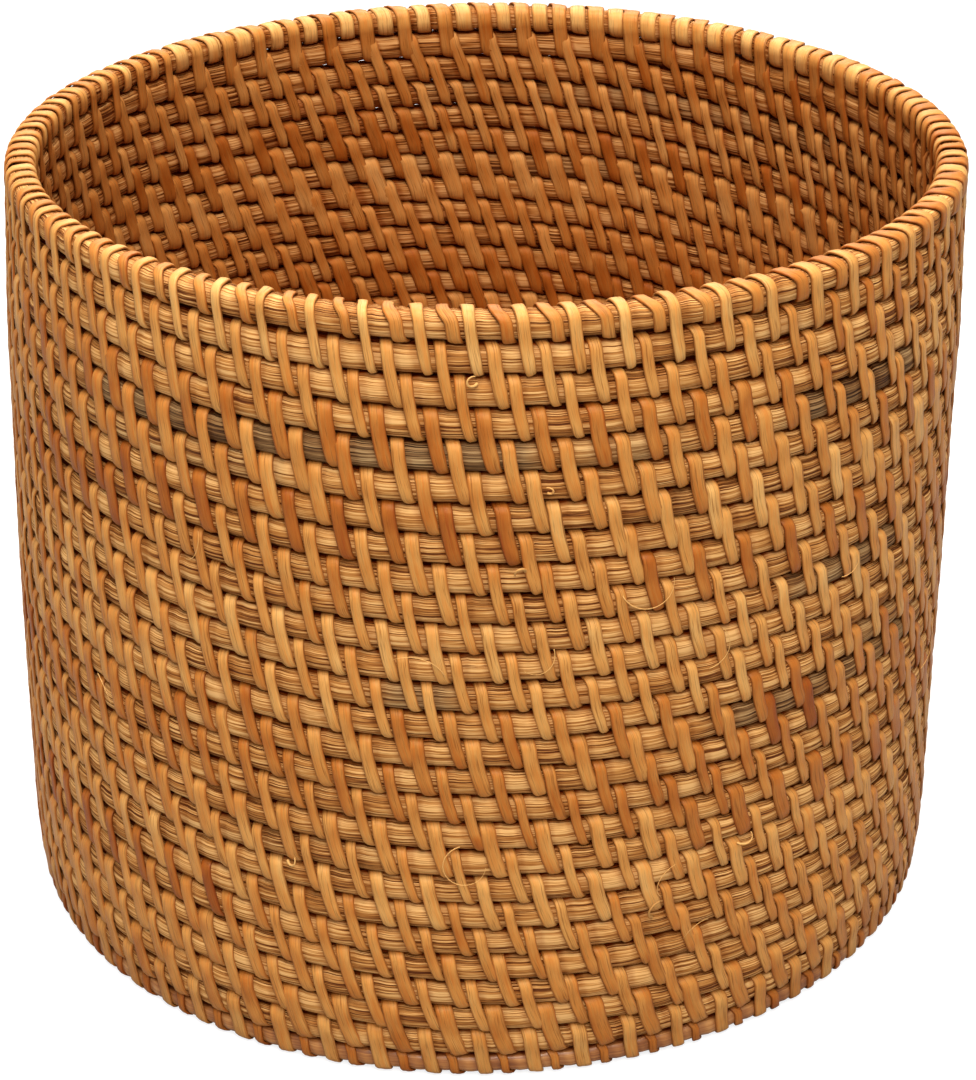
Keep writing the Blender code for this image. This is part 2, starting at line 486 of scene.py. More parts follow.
def add_coil(name, course, material):
    """One coil: a squarish rod, pressed in where strips cross it and swollen between them."""
    out_size, up_size = rod_size(course)
    steps = STITCHES * ROD_STEPS_PER_STITCH
    angle = np.linspace(0, math.tau, steps, endpoint=False)[:, None]
    section = np.linspace(0, math.tau, ROD_SECTION_POINTS, endpoint=False)[None, :]
    across, upward = superellipse(math.pi / 2 - section)
    place = angle / STITCH - course_drift(angle, course)
    crossed_outside, crossed_inside = crossings(angle, course, 1), crossings(angle, course, -1)
    outside, inside = side_pressure(place, crossed_outside), side_pressure(place, crossed_inside)
    top = gap_pressure(angle, place, course, True)
    bottom = gap_pressure(angle, place, course, False)
    rough = ring_noise(angle, ROUGHNESS_SEED + course, [7, 11, 16, 23], ROD_ROUGHNESS)
    swell = PILLOW * np.where(across > 0, 1 - outside, 1 - inside) * np.abs(across) + rough
    dent = CROSSING_DENT * np.where(upward > 0, top, bottom) * np.abs(upward)
    z = ROD_HEIGHTS[course] + course_wave(angle, course) + upward * (up_size - dent)
    points = wall_points(angle, across * (out_size + swell), z)
    grain = np.stack(
        [
            np.cos(angle) * OUTER_RADIUS + 0 * section,
            np.sin(angle) * OUTER_RADIUS + 0 * section,
            section * out_size + 0 * angle + course * GRAIN_STEP,
        ],
        axis=-1,
    )
    grey = np.broadcast_to(weathering(angle, course), points.shape[:2])
    strip_shadow = np.where(
        across > 0,
        strip_shadow_mask(place, crossed_outside, upward),
        strip_shadow_mask(place, crossed_inside, upward),
    )
    # Painted shade: the rod is darker in the grooves between rods, beside each strip as a painted shadow,
    # and all over the inside
    open_top = (course == RIM) & (upward > 0)
    open_bottom = (course == FOOT) & (upward < 0)
    depth = np.where(open_top | open_bottom, 0.0, painted_groove_shade(across, ROD_GROOVE))
    painted_shade = np.clip(depth + EDGE_SHADE * strip_shadow + INSIDE_SHADE * (across < 0), 0, 1)
    attributes = {"grain": grain.reshape(-1, 3), "weather": grey.ravel(), "painted_shade": painted_shade.ravel()}
    faces = tube_faces(steps, ROD_SECTION_POINTS, True)
    return make_mesh(name, points.reshape(-1, 3), faces, attributes, material)


# ---------------------------------------------------------------- cane strips

# A cane strip's section: share of half its width, share of its thickness. The outer skin is
# crowned, and the inner face is flat.
STRIP_SECTION = np.array(
    [
        (-0.99, -0.06),
        (-0.93, 0.18),
        (-0.68, 0.38),
        (0.0, 0.52),
        (0.68, 0.38),
        (0.93, 0.18),
        (0.99, -0.06),
        (0.98, -0.40),
        (0.88, -0.50),
        (-0.88, -0.50),
        (-0.98, -0.40),
    ]
)

# A slack for comparing shares of a loop
TINY = 1e-9

# Where a strip goes in under its lower rod: how much narrower it gets, and its turn in radians
END_TAPER = 0.30
END_TWIST = 0.22

# Courses sewn with wide cane, and how much wider it is
WIDE_LASHINGS = {0: 1.30, 1: 1.32, 2: 1.06, 3: 1.42, 8: 1.12, 13: 1.10, 19: 1.10}

# Strips are wider at the sides and back than at the front
SIDE_BREADTH = 1.24

# The foot's and the rim's lashings: tone added to long wraps and to short wraps, and how wide
# short wraps are
SHORT_WRAPS = {FOOT: (0.02, 0.34, 0.62), RIM - 1: (-0.10, 0.16, 0.95)}

# The tone of cane, 0 pale to 1 dark: the average, and how far runs and single wraps differ
TONE = 0.42
RUN_TONE_SPREAD = 0.12
WRAP_TONE_SPREAD = 0.035

# Lengths of strip of an unusual colour: lashing, middle and half length in degrees, tone
ODD_RUNS = [
    (19, -118, 34, 0.80),
    (18, -146, 14, 0.78),
    (11, -54, 6, 0.85),
    # The fifth lashing's dark length stands in for shade in the crevices low on the left: painted shade
    (5, -142, 22, 0.78),
    (17, -56, 20, 0.64),
    (9, -75, 16, 0.62),
    (14, 60, 40, 0.66),
    (7, 150, 30, 0.66),
    (21, 120, 26, 0.60),
]


def unit(vectors):
    return vectors / np.linalg.norm(vectors, axis=-1, keepdims=True)


def blend_passes(values, place):
    """One value for each pass of a strip, in or out, changing only in the folds between."""
    index = np.floor(place).astype(int)
    share = ease(np.clip((place - index - 0.5) / 0.5 + 0.5, 0, 1))
    return values[index % len(values)] * (1 - share) + values[(index + 1) % len(values)] * share


def run_values(random, wraps):
    """Tone, width and grain offset of each wrap: a strip is spliced from long runs of cane."""
    tone, width, offset = np.empty(wraps), np.empty(wraps), np.empty(wraps)
    start = 0
    while start < wraps:
        end = start + int(random.integers(24, 55))
        tone[start:end] = np.clip(random.normal(TONE, RUN_TONE_SPREAD), 0.12, 0.74)
        width[start:end] = np.clip(random.normal(1.0, 0.12), 0.82, 1.28)
        offset[start:end] = random.uniform(0, 1)
        start = end
    return tone, width, offset


def sweep_strip(name, middle, normal, half_width, twist, closed, looks, material):
    """A cane strip along a line of points, with its skin towards the normals.

    Looks are its tone, where its grain is read and how much painted shade it has, from how deep it lies
    in a groove and whether it is inside, at each point.
    """
    if closed:
        tangent = unit(np.roll(middle, -1, axis=0) - np.roll(middle, 1, axis=0))
        step = np.linalg.norm(middle - np.roll(middle, 1, axis=0), axis=1)
    else:
        tangent = unit(np.gradient(middle, axis=0))
        step = np.linalg.norm(np.diff(middle, axis=0, prepend=middle[:1]), axis=1)
    side = unit(np.cross(tangent, normal))
    normal = np.cross(side, tangent)
    turned_side = side * np.cos(twist)[:, None] + normal * np.sin(twist)[:, None]
    turned_normal = normal * np.cos(twist)[:, None] - side * np.sin(twist)[:, None]
    across = STRIP_SECTION[None, :, :1] * half_width[:, None, None]
    depth = STRIP_SECTION[None, :, 1:] * STRIP_THICKNESS
    points = middle[:, None, :] + across * turned_side[:, None, :] + depth * turned_normal[:, None, :]
    rows, columns = points.shape[:2]
    tone, offset, painted_shade = looks
    grain = np.empty((rows, columns, 3))
    grain[..., 0] = across[..., 0]
    grain[..., 1] = np.cumsum(step)[:, None]
    grain[..., 2] = offset[:, None]
    attributes = {
        "grain": grain.reshape(-1, 3),
        "tone": np.repeat(tone, columns),
        "across": np.tile(STRIP_SECTION[:, 0], rows),
        "painted_shade": np.repeat(painted_shade, columns),
    }
    faces = tube_faces(rows, columns, closed)
    return make_mesh(name, points.reshape(-1, 3), faces, attributes, material)


def loop_path(low, high, low_size, high_size):
    """A strip's way round rods at a low and a high centre, from the top: out, z and share."""
    half = STRIP_THICKNESS / 2
    arcs = [
        (high, high_size, 90, 0, 0.0, UPPER_OUTSIDE),
        (low, low_size, 0, -90, LOWER_OUTSIDE, UNDERSIDE),
        (low, low_size, -90, -180, UNDERSIDE, LOWER_INSIDE),
        (high, high_size, 180, 90, UPPER_INSIDE, 1.0),
    ]
    alone = low == high
    out, z, share = [], [], []
    for number, (centre, (out_size, up_size), start, end, first, last) in enumerate(arcs):
        if alone:
            first, last = number / 4, (number + 1) / 4
        steps = np.arange(ARC_STEPS) / ARC_STEPS
        across, upward = superellipse(np.radians(start + (end - start) * steps))
        out.append(across * (out_size + half))
        z.append(centre + upward * up_size)
        share.append(first + (last - first) * steps)
        if number in (0, 2) and not alone:
            side = 1 if number == 0 else -1
            near, far = (high_size, low_size) if number == 0 else (low_size, high_size)
            from_z, to_z = (high, low) if number == 0 else (low, high)
            steps = np.arange(LEG_STEPS) / LEG_STEPS
            reach = near[0] + (far[0] - near[0]) * steps + half
            out.append(side * (reach - LEG_SAG * np.sin(math.pi * steps)))
            z.append(from_z + (to_z - from_z) * steps)
            share.append(last + LEG_SHARE * steps)
    return np.concatenate(out), np.concatenate(z), np.concatenate(share)


def from_underside(share):
    """The number of the first point at or past the underside."""
    return int(np.searchsorted(share, UNDERSIDE - TINY))


def wall_wrap(low, high, lead, from_bottom=False):
    """One wrap of a strip: out, z, lead in stitches and share of the loop."""
    low_size = (rod_size(low)[0], PITCH / 2)
    high_size = (rod_size(high)[0], PITCH / 2)
    if low == FOOT:
        low_size = (FOOT_RING_OUT, FOOT_RING_UP + STRIP_THICKNESS / 2)
    if high == RIM:
        high_size = (ROD_OUT, RIM_ROD_UP + STRIP_THICKNESS / 2)
    if low == high:
        low_size = high_size = low_size if low == FOOT else high_size
    out, z, share = loop_path(ROD_HEIGHTS[low], ROD_HEIGHTS[high], low_size, high_size)
    if from_bottom:
        shift = from_underside(share)
        out, z, share = (np.roll(values, -shift) for values in (out, z, share))
        share = np.where(share >= UNDERSIDE - TINY, share - UNDERSIDE, share + UNDERSIDE)
    return out, z, smooth_curve(share, LOOP_SHARE, lead), share


def lashing_tones(tone, angle, lashing):
    """Tones along a lashing, with those of its lengths of an unusual colour put in."""
    for odd_lashing, middle, half, odd_tone in ODD_RUNS:
        if odd_lashing == lashing:
            inside = window(angle, middle, half, 0.5) > 0.5
            tone = np.where(inside, odd_tone + 0.4 * (tone - TONE), tone)
    return tone


def lashing_widths(angle, below, lashing):
    """Half widths along a lashing, before random differences. Below is 1 under the lower rod."""
    frontal = (0.5 - 0.5 * np.sin(angle)) ** 2
    breadth = WIDE_LASHINGS.get(lashing, 1.0) * (SIDE_BREADTH - (SIDE_BREADTH - 1) * frontal)
    return STRIP_WIDTH / 2 * breadth * (1 - END_TAPER * below**1.5)


def add_wall_lashing(name, course, material):
    """One closed strip that winds round two courses, all round the basket."""
    random = np.random.default_rng(LASHING_SEED + course)
    wraps = [wall_wrap(*wrap, from_bottom=course == FOOT) for wrap in stitch_wraps(course)]
    out = np.tile(np.concatenate([wrap[0] for wrap in wraps]), STITCHES)
    z = np.tile(np.concatenate([wrap[1] for wrap in wraps]), STITCHES)
    lead = np.concatenate([wrap[2] for wrap in wraps])[None, :]
    share = np.concatenate([number + wrap[3] for number, wrap in enumerate(wraps)])
    stitch = np.arange(STITCHES)[:, None]
    if len(wraps) == 1:
        lead = leaning_lead(strip_lean(course, STITCH * (stitch + stitch_start(course))), lead)
    place = (stitch + lead).ravel()
    loop = (stitch * len(wraps) + share[None, :]).ravel()

    # The strip starts and ends under a rod, where its colour and grain can change unseen
    shift = from_underside(share)
    out, z, place, loop = (np.roll(values, -shift) for values in (out, z, place, loop))
    place[-shift:] += STITCHES
    loop[-shift:] += STITCHES * len(wraps)

    # Small differences between passes, and between wraps
    count = STITCHES * len(wraps)
    passes = 2 * loop - 0.5
    wander = blend_passes(random.normal(0, 0.022, 2 * count), passes)
    lift = blend_passes(random.normal(0, STRIP_LIFT, 2 * count), passes)
    twist = blend_passes(random.normal(0, 0.06, 2 * count), passes)
    tone, width, offset = run_values(random, count)
    tone = tone + random.normal(0, WRAP_TONE_SPREAD, count)
    width = width * np.clip(random.normal(1, 0.055, count), 0.85, 1.16)
    if course in SHORT_WRAPS:
        long_tone, short_tone, short_width = SHORT_WRAPS[course]
        short = 0 if course == RIM - 1 else 1
        tone[1 - short :: 2] += long_tone
        tone[short::2] += short_tone
        width[short::2] *= short_width
    wrap_index = np.clip((loop - 0.5).astype(int), 0, count - 1)

    angle = STITCH * (place + stitch_start(course) + wander)
    angle = angle + STITCH * course_drift(angle, course)
    waves = [course_wave(angle, near) for near in (course, course + 1)]
    high_share = np.clip((z - ROD_HEIGHTS[course]) / PITCH, 0, 1)
    wave = waves[0] * (1 - high_share) + waves[1] * high_share
    free = 0.0 if course == FOOT else 1.0
    height = z + wave + free * lift
    middle = wall_points(angle, out, height)

    along_out, along_z = np.roll(out, -1) - np.roll(out, 1), np.roll(z, -1) - np.roll(z, 1)
    outward = np.stack([np.cos(angle), np.sin(angle), 0 * angle], axis=-1)
    normal = -along_z[:, None] * outward + along_out[:, None] * np.array([0.0, 0.0, 1.0])
    below = free * np.clip((ROD_HEIGHTS[course] - z) / ROD_UP, 0, 1)
    half_width = lashing_widths(angle, below, course) * blend_passes(np.repeat(width, 2), passes)
    twist = twist + END_TWIST * below

    # Painted shade: a strip is darker where it lies in the groove between rods and on the inside of the
    # basket
    exposed = (height > ROD_HEIGHTS[RIM]) | (height < ROD_HEIGHTS[FOOT])
    across = out / (ROD_OUT + STRIP_THICKNESS / 2)
    painted_shade = np.where(exposed, 0.0, painted_groove_shade(across, STRIP_GROOVE))
    painted_shade = np.clip(painted_shade + INSIDE_SHADE * (out < 0) * (height < ROD_HEIGHTS[RIM]), 0, 1)
    looks = (lashing_tones(tone[wrap_index], angle, course), offset[wrap_index], painted_shade)
    return sweep_strip(name, middle, unit(normal), half_width, twist, True, looks, material)


# ---------------------------------------------------------------- the base

# The base is a spiral whose turns are PITCH apart. Stitches are BASE_STITCH apart along it.
BASE_LEVEL = ROD_HEIGHTS[1]
BASE_EDGE = CENTRE_RADIUS * 0.99
BASE_ROD_OUT = 0.00368
BASE_ROD_UP = 0.00300
BASE_ROD_STEPS = 2400
BASE_FIRST_TURN = 0.25
BASE_FULL_TURN = BASE_EDGE / PITCH - 1
BASE_LAST_TURN = BASE_FULL_TURN + 0.97
BASE_FIRST_STITCH_TURN = BASE_FIRST_TURN + 0.75
BASE_LAST_STITCH_TURN = BASE_FULL_TURN - 0.5
BASE_STITCH = 0.0108
BASE_BREADTH = 1.16
BASE_GROOVE = 0.80


def base_radius(turn):
    """Radius of the base coil. Its last turn tapers into the space beside the wall's coil."""
    room = (BASE_FULL_TURN + 1 - turn) / 2
    return PITCH * np.where(turn < BASE_FULL_TURN, turn, turn - 0.5 + room)


def base_points(turn, radius, z):
    angle = math.tau * turn
    radius = radius * wall_radius(angle, BASE_LEVEL) / BASE_EDGE
    return np.stack([radius * np.cos(angle), radius * np.sin(angle), z + 0 * radius], axis=-1)


def add_base_coil(name, material):
    """The spiral rod of the base, thinned at both ends."""
    turn = np.linspace(BASE_FIRST_TURN, BASE_LAST_TURN, BASE_ROD_STEPS)[:, None]
    section = np.linspace(0, math.tau, ROD_SECTION_POINTS, endpoint=False)[None, :]
    across, upward = superellipse(math.pi / 2 - section)
    taper = np.clip(BASE_FULL_TURN + 1 - turn, 0.12, 1)
    start = np.clip((turn - BASE_FIRST_TURN) / 0.08 + 0.35, 0, 1)
    radius = base_radius(turn) + across * BASE_ROD_OUT * taper * start
    z = BASE_LEVEL + upward * BASE_ROD_UP * np.sqrt(taper) * start
    points = base_points(turn, radius, z)
    angle = math.tau * turn
    grain = np.stack(
        [
            np.cos(angle) * base_radius(turn) + 0 * section,
            np.sin(angle) * base_radius(turn) + 0 * section,
            section * BASE_ROD_OUT + np.floor(turn) * GRAIN_STEP,
        ],
        axis=-1,
    )
    grey = np.zeros(points.shape[:2])
    # Painted shade in the grooves between the base's turns
    painted_shade = np.broadcast_to(painted_groove_shade(upward, BASE_GROOVE), points.shape[:2])
    attributes = {"grain": grain.reshape(-1, 3), "weather": grey.ravel(), "painted_shade": painted_shade.ravel()}
    faces = tube_faces(BASE_ROD_STEPS, ROD_SECTION_POINTS, False)
    return make_mesh(name, points.reshape(-1, 3), faces, attributes, material)


def add_base_lashing(name, material):
    """One strip that winds round each two neighbouring turns of the base, from the middle out."""
    random = np.random.default_rng(BASE_SEED)
    reach_size = (BASE_ROD_UP, PITCH / 2)
    up, inward, share = loop_path(-PITCH / 2, PITCH / 2, reach_size, reach_size)
    lead = smooth_curve(share, LOOP_SHARE, LOOP_LEAD)
    first_length = PITCH * math.pi * BASE_FIRST_STITCH_TURN**2
    last_length = PITCH * math.pi * BASE_LAST_STITCH_TURN**2
    count = int((last_length - first_length) / BASE_STITCH)
    stitch = np.arange(count)[:, None]
    length = first_length + BASE_STITCH * (stitch + lead[None, :])
    loop = (stitch + share[None, :]).ravel()
    turn = np.sqrt(length / (PITCH * math.pi)).ravel()
    up, inward = np.tile(up, count), np.tile(inward, count)
    passes = 2 * loop - 0.5
    lift = blend_passes(random.normal(0, STRIP_LIFT, 2 * count), passes)
    twist = blend_passes(random.normal(0, 0.05, 2 * count), passes)
    tone, width, offset = run_values(random, count)
    index = np.clip(loop.astype(int), 0, count - 1)
    middle = base_points(turn, PITCH * (turn + 0.5) - inward, BASE_LEVEL + up + lift)
    angle = math.tau * turn
    outward = np.stack([np.cos(angle), np.sin(angle), 0 * angle], axis=-1)
    along_up, along_in = np.gradient(up), np.gradient(inward)
    normal = -along_up[:, None] * -outward - along_in[:, None] * np.array([0.0, 0.0, 1.0])
    half_width = STRIP_WIDTH / 2 * BASE_BREADTH * blend_passes(np.repeat(width, 2), passes)
    # Painted shade where the strip lies in the groove between the base's turns
    painted_shade = painted_groove_shade(up / (BASE_ROD_UP + STRIP_THICKNESS / 2), BASE_GROOVE)
    looks = (tone[index], offset[index], painted_shade)
    return sweep_strip(name, middle, unit(normal), half_width, twist, False, looks, material)


# ---------------------------------------------------------------- stray fibres

# Hairs of cane that stand off the weave: angle in degrees, height as a share of the basket's,
# length and thickness in millimetres, and how far it curls in turns
STRAY_FIBRES = [
    (-76, 0.66, 19, 0.28, 0.45),
    (-83, 0.60, 12, 0.26, -0.40),
    (-92, 0.34, 24, 0.28, 0.70),
    (-94, 0.56, 16, 0.26, 0.30),
    (-66, 0.54, 14, 0.24, 0.30),
    (-70, 0.24, 13, 0.26, -0.35),
    (-64, 0.19, 10, 0.24, 0.30),
    (-124, 0.66, 12, 0.24, 0.25),
    (-140, 0.45, 11, 0.24, -0.30),
    (-48, 0.60, 9, 0.22, 0.30),
    (-91, 0.92, 6, 0.70, -0.70),
    (-86, 0.695, 5, 0.80, 0.60),
    (-71, 0.215, 8, 0.75, -0.45),
    (-84, 0.79, 4, 0.60, 0.60),
    (-61, 0.29, 6, 0.60, 0.40),
    (-112, 0.295, 5, 0.70, 0.50),
    (40, 0.50, 14, 0.26, 0.40),
    (105, 0.62, 12, 0.26, -0.35),
    (165, 0.34, 15, 0.26, 0.45),
    (-25, 0.36, 12, 0.24, 0.35),
    (80, 0.27, 6, 0.70, 0.50),
]
FIBRE_STEPS = 20
FIBRE_SIDES = 5
FIBRE_TONE = 0.06
FIBRE_GRAIN_STEP = 0.07
MILLIMETRE = 0.001


def add_stray_fibres(name, material):
    """Thin curled hairs, each rooted in the weave."""
    random = np.random.default_rng(FIBRE_SEED)
    points, faces, grain = [], [], []
    for number, (degrees, height, length, thickness, curl) in enumerate(STRAY_FIBRES):
        share = np.linspace(0, 1, FIBRE_STEPS)
        heading = random.uniform(0, math.tau) + math.tau * curl * share
        step = length * MILLIMETRE / FIBRE_STEPS
        along = np.cumsum(np.cos(heading)) * step
        upward = np.cumsum(np.sin(heading)) * step
        angle = math.radians(degrees) + along / OUTER_RADIUS
        proud = ROD_OUT + STRIP_THICKNESS * (0.6 + 2.2 * np.sin(math.pi * share * 0.8))
        line = wall_points(angle, proud, height * HEIGHT + upward)
        tangent = unit(np.gradient(line, axis=0))
        outward = np.stack([np.cos(angle), np.sin(angle), 0 * angle], axis=-1)
        side = unit(np.cross(tangent, outward))
        normal = np.cross(side, tangent)
        turn = np.linspace(0, math.tau, FIBRE_SIDES, endpoint=False)[None, :, None]
        radius = thickness * MILLIMETRE / 2 * (1.1 - 0.7 * share)[:, None, None]
        ring = radius * (np.cos(turn) * side[:, None, :] + np.sin(turn) * normal[:, None, :])
        first = len(points) * FIBRE_STEPS * FIBRE_SIDES
        points.append((line[:, None, :] + ring).reshape(-1, 3))
        faces.append([group + first for group in tube_faces(FIBRE_STEPS, FIBRE_SIDES, False)])
        place = [0.0, 0.0, number * FIBRE_GRAIN_STEP]
        grain.append(np.tile(place, (FIBRE_STEPS * FIBRE_SIDES, 1)))
    groups = [np.concatenate([face[kind] for face in faces]) for kind in (0, 1)]
    all_points = np.concatenate(points)
    attributes = {
        "grain": np.concatenate(grain),
        "tone": np.full(len(all_points), FIBRE_TONE),
        "across": np.zeros(len(all_points)),
        "painted_shade": np.zeros(len(all_points)),
    }
    return make_mesh(name, all_points, groups, attributes, material)


# ---------------------------------------------------------------- materials

class Nodes:
    """Adds nodes to a material, with their inputs given as values or as other nodes' outputs."""

    def __init__(self, name):
        self.material = bpy.data.materials.new(name)
        self.material.use_nodes = True
        self.tree = self.material.node_tree
        self.shader = self.tree.nodes["Principled BSDF"]

    def add(self, kind, inputs=None, **settings):
        node = self.tree.nodes.new(kind)
        for key, value in settings.items():
            setattr(node, key, value)
        self.set(node, inputs or {})
        return node

    def set(self, node, inputs):
        for key, value in inputs.items():
            if isinstance(value, bpy.types.NodeSocket):
                self.tree.links.new(value, node.inputs[key])
            else:
                node.inputs[key].default_value = value

    def attribute(self, name, output="Fac"):
        node = self.add("ShaderNodeAttribute", attribute_name=name)
        return node.outputs[output]

    def math(self, operation, *values, clamp=False):
        inputs = dict(enumerate(values))
        node = self.add("ShaderNodeMath", inputs, operation=operation, use_clamp=clamp)
        return node.outputs[0]

    def noise(self, vector, scale, detail=2.0, roughness=0.5, distortion=0.0):
        """Noise stretched by a different scale along each axis."""
        place = self.add("ShaderNodeVectorMath", {0: vector, 1: scale}, operation="MULTIPLY")
        inputs = {
            "Vector": place.outputs[0],
            "Scale": 1.0,
            "Detail": detail,
            "Roughness": roughness,
            "Distortion": distortion,
        }
        return self.add("ShaderNodeTexNoise", inputs).outputs[0]

    def ramp(self, value, stops):
        """Colours or greys along a value."""
        node = self.add("ShaderNodeValToRGB", {0: value})
        elements = node.color_ramp.elements
        while len(elements) < len(stops):
            elements.new(0.5)
        for element, (position, colour) in zip(elements, stops):
            element.position = position
            element.color = (*colour, 1.0) if isinstance(colour, tuple) else (colour,) * 3 + (1.0,)
        return node.outputs[0]

    def mix(self, factor, first, second, blend_type="MIX"):
        inputs = {0: factor, 6: first, 7: second}
        node = self.add("ShaderNodeMix", inputs, data_type="RGBA", blend_type=blend_type)
        return node.outputs[2]

    def spread(self, noise, low, high):
        """Noise stretched from its usual range to another one."""
        return self.stretch(noise, 0.3, 0.7, low, high)

    def stretch(self, value, from_low, from_high, to_low, to_high):
        inputs = {
            "Value": value,
            "From Min": from_low,
            "From Max": from_high,
            "To Min": to_low,
            "To Max": to_high,
        }
        return self.add("ShaderNodeMapRange", inputs).outputs[0]

    def shade(self, colour, factor, tint):
        """Tints a colour by multiplying, as far as the factor says."""
        return self.mix(factor, colour, self.mix(1.0, colour, tint, "MULTIPLY"))

    def bump(self, height, distance):
        inputs = {"Height": height, "Strength": 1.0, "Distance": distance}
        return self.add("ShaderNodeBump", inputs).outputs[0]


# What painted shade in grooves and painted shade along a strip's edge multiply a colour by, and the
# colour of the cane skin's highlights
PAINTED_SHADE_TINT = (0.36, 0.11, 0.026, 1.0)
PAINTED_EDGE_SHADE_TINT = (0.48, 0.32, 0.20, 1.0)
SKIN_GLINT = (1.0, 0.80, 0.55, 1.0)


def make_cane(name):
    """Split cane: satin skin, fine grain along the strip, painted shade along its sides and in grooves,
    runs of other tones.
    """
    nodes = Nodes(name)
    grain = nodes.attribute("grain", "Vector")
    tone = nodes.attribute("tone")
    across = nodes.attribute("across")
    streak = nodes.noise(grain, (1700.0, 60.0, 40.0), detail=3.0, roughness=0.65)
    fine = nodes.noise(grain, (6200.0, 170.0, 90.0), detail=2.0, roughness=0.6)
    patch = nodes.noise(grain, (210.0, 85.0, 31.0), detail=2.0)
    value = nodes.math("ADD", tone, nodes.spread(streak, -0.20, 0.20))
    value = nodes.math("ADD", value, nodes.spread(fine, -0.08, 0.08))
    value = nodes.math("ADD", value, nodes.spread(patch, -0.13, 0.13), clamp=True)
    colour = nodes.ramp(
        value,
        [
            (0.02, (0.69, 0.380, 0.120)),
            (0.26, (0.59, 0.272, 0.066)),
            (0.48, (0.49, 0.184, 0.034)),
            (0.70, (0.38, 0.108, 0.013)),
            (0.98, (0.24, 0.050, 0.005)),
        ],
    )
    lines = nodes.math("ADD", nodes.math("MULTIPLY", streak, 0.55), nodes.math("MULTIPLY", fine, 0.45))
    lines = nodes.ramp(lines, [(0.37, (0.50, 0.34, 0.20)), (0.47, 0.95), (0.60, (1.22, 1.24, 1.34))])
    colour = nodes.mix(1.0, colour, lines, "MULTIPLY")
    # Painted shade along the strip's sides, standing in for the shadow there
    edge = nodes.ramp(nodes.math("ABSOLUTE", across), [(0.70, 0.0), (0.99, 1.0)])
    colour = nodes.shade(colour, nodes.math("MULTIPLY", edge, 0.8), PAINTED_EDGE_SHADE_TINT)
    # Painted shade in grooves and on the inside
    colour = nodes.shade(colour, nodes.attribute("painted_shade"), PAINTED_SHADE_TINT)
    rough = nodes.spread(streak, 0.50, 0.34)
    height = nodes.math("ADD", streak, nodes.math("MULTIPLY", fine, 0.5))
    nodes.set(
        nodes.shader,
        {
            "Base Color": colour,
            "Roughness": rough,
            "Normal": nodes.bump(height, 0.00012),
            "Specular IOR Level": nodes.stretch(nodes.attribute("painted_shade"), 0.1, 0.6, 0.28, 0.02),
            "Specular Tint": SKIN_GLINT,
        },
    )
    return nodes.material


def make_core(name):
    """Rattan core: matt and fibrous, with dark gaps between its fibres and weathered lengths."""
    nodes = Nodes(name)
    grain = nodes.attribute("grain", "Vector")
    weather = nodes.attribute("weather")
    fibre = nodes.noise(grain, (24.0, 24.0, 2900.0), detail=2.5, roughness=0.66, distortion=0.05)
    fine = nodes.noise(grain, (90.0, 90.0, 6000.0), detail=2.0, roughness=0.6)
    patch = nodes.noise(grain, (38.0, 38.0, 160.0), detail=2.0)
    value = nodes.math("ADD", fibre, nodes.spread(fine, -0.10, 0.10))
    value = nodes.math("ADD", value, nodes.spread(patch, -0.08, 0.08))
    colour = nodes.ramp(
        value,
        [
            (0.34, (0.110, 0.025, 0.004)),
            (0.43, (0.340, 0.118, 0.022)),
            (0.51, (0.490, 0.210, 0.050)),
            (0.62, (0.735, 0.412, 0.148)),
        ],
    )
    grey = nodes.ramp(
        value,
        [
            (0.32, (0.035, 0.014, 0.005)),
            (0.43, (0.120, 0.056, 0.019)),
            (0.54, (0.235, 0.120, 0.043)),
            (0.68, (0.480, 0.300, 0.130)),
        ],
    )
    worn = nodes.math("ADD", weather, nodes.spread(patch, -0.25, 0.25))
    worn = nodes.math("MULTIPLY", worn, nodes.ramp(weather, [(0.0, 0.0), (0.15, 1.0)]), clamp=True)
    colour = nodes.mix(worn, colour, grey)
    # Painted shade in grooves, beside strips and on the inside
    colour = nodes.shade(colour, nodes.attribute("painted_shade"), PAINTED_SHADE_TINT)
    gap = nodes.ramp(value, [(0.30, 0.0), (0.42, 1.0)])
    height = nodes.math("ADD", gap, nodes.math("MULTIPLY", fine, 0.6))
    nodes.set(
        nodes.shader,
        {
            "Base Color": colour,
            "Roughness": nodes.spread(fine, 0.80, 0.62),
            "Normal": nodes.bump(height, 0.00015),
            "Specular IOR Level": nodes.stretch(nodes.attribute("painted_shade"), 0.1, 0.6, 0.12, 0.0),
        },
    )
    return nodes.material


def make_smooth_cane(name):
    """The foot ring's whole cane: reddish brown, with its skin on."""
    nodes = Nodes(name)
    grain = nodes.attribute("grain", "Vector")
    streak = nodes.noise(grain, (40.0, 40.0, 2600.0), detail=3.0, roughness=0.6)
    patch = nodes.noise(grain, (55.0, 55.0, 90.0), detail=2.0)
    value = nodes.math("ADD", streak, nodes.spread(patch, -0.12, 0.12))
    colour = nodes.ramp(
        value,
        [
            (0.28, (0.240, 0.075, 0.016)),
            (0.50, (0.410, 0.155, 0.036)),
            (0.74, (0.550, 0.260, 0.080)),
        ],
    )
    # Painted shade in grooves
    colour = nodes.shade(colour, nodes.attribute("painted_shade"), PAINTED_SHADE_TINT)
    nodes.set(
        nodes.shader,
        {
            "Base Color": colour,
            "Roughness": nodes.spread(streak, 0.42, 0.30),
            "Normal": nodes.bump(streak, 0.00006),
        },
    )
    return nodes.material


